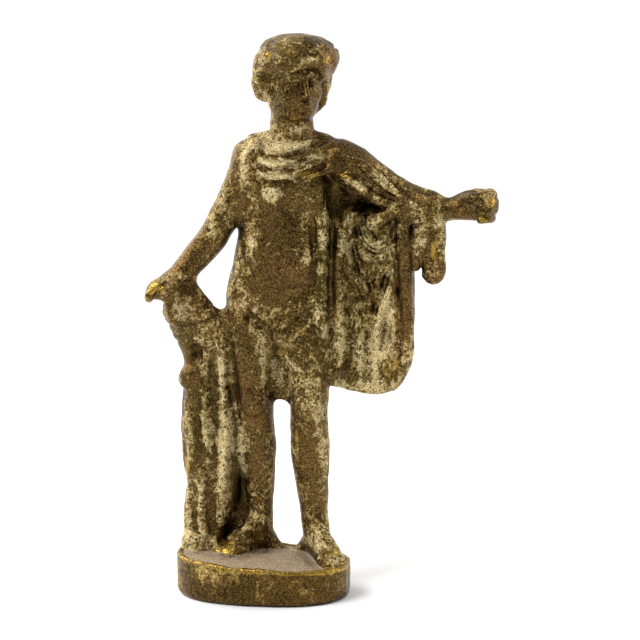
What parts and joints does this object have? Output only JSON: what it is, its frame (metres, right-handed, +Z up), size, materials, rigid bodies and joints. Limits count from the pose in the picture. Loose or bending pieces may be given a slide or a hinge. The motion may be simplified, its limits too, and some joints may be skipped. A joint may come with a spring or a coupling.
{
  "type": "figure trophy",
  "caption": "Small cast brass statuette of a standing man with a cloak over an outstretched arm, his other hand on a tree stump, on an oval plinth.",
  "frame": {"origin": "centre of the plinth's flat underside", "axes": "+Z up through the figure, +X to the figure's left (the outstretched arm), -Y to the figure's front"},
  "size_m": [0.0748, 0.0258, 0.12],
  "materials": {
    "figure_casting": "dark patina with pale granular crust, rubbed bright on the high points",
    "plinth_casting": "dark patina with a bright worn rim",
    "ground_casting": "dull, pale, finely pitted",
    "bright_brass": "drawn rod, clean",
    "fixing_screws": "turned, slightly tarnished"
  },
  "bodies": {
    "root": {"plinth": "plinth_casting", "ground_plate": "ground_casting", "body": "figure_casting", "head": "figure_casting", "right_arm": "figure_casting", "left_arm": "figure_casting", "tree_trunk": "figure_casting", "cloak_mantle": "figure_casting", "cloak_sleeve": "figure_casting", "cloak_drape": "figure_casting", "cloak_tail": "figure_casting", "neck_dowel": "bright_brass", "right_shoulder_dowel": "bright_brass", "left_shoulder_dowel": "bright_brass", "hand_pin": "bright_brass", "mantle_pins": "bright_brass", "drape_rivets": "bright_brass", "sleeve_pin": "bright_brass", "tail_pin": "bright_brass", "foot_screws": "fixing_screws", "trunk_screw": "fixing_screws"}
  },
  "joints": []
}
